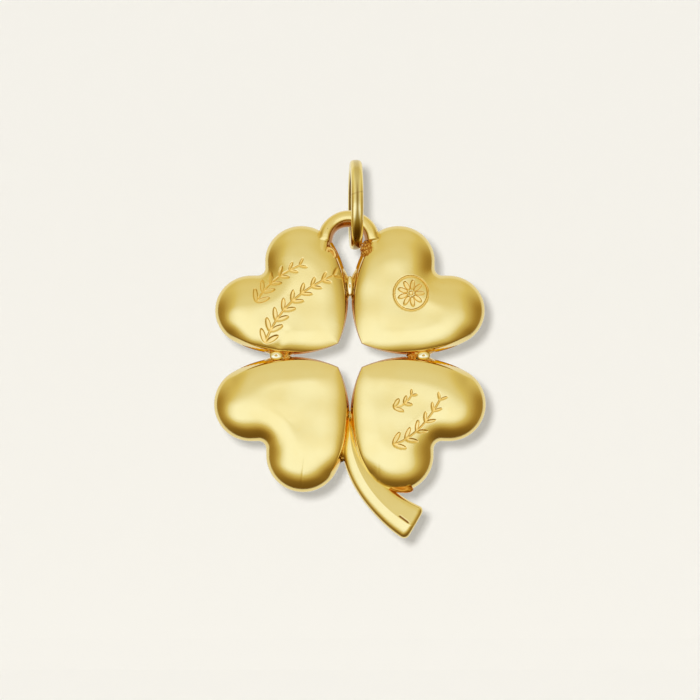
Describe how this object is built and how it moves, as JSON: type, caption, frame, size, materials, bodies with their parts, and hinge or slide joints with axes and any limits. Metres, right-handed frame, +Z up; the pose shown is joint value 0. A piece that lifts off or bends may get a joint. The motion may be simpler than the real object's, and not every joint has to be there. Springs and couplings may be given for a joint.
{
  "type": "four leaf clover pendant",
  "caption": "Puffed clover pendant of soldered hearts with a curved stem and a strap loop, hanging in a jump ring.",
  "frame": {"origin": "inside of the jump ring's top, where the chain passes through", "axes": "+Z up, +X to the right seen from the front, +Y away from the front"},
  "size_m": [0.0245, 0.008, 0.0342],
  "materials": {
    "gold": "polished yellow gold plate"
  },
  "bodies": {
    "ring": {"jump_ring": "gold"},
    "pendant": {"clover": "gold"}
  },
  "joints": [
    {"name": "pendant_swing", "type": "hinge", "parent": "ring", "child": "pendant", "pos_m": [0, 0, -0.00295], "axis": [0.9992, 0.0401, 0], "range_deg": [-120, 120]}
  ]
}
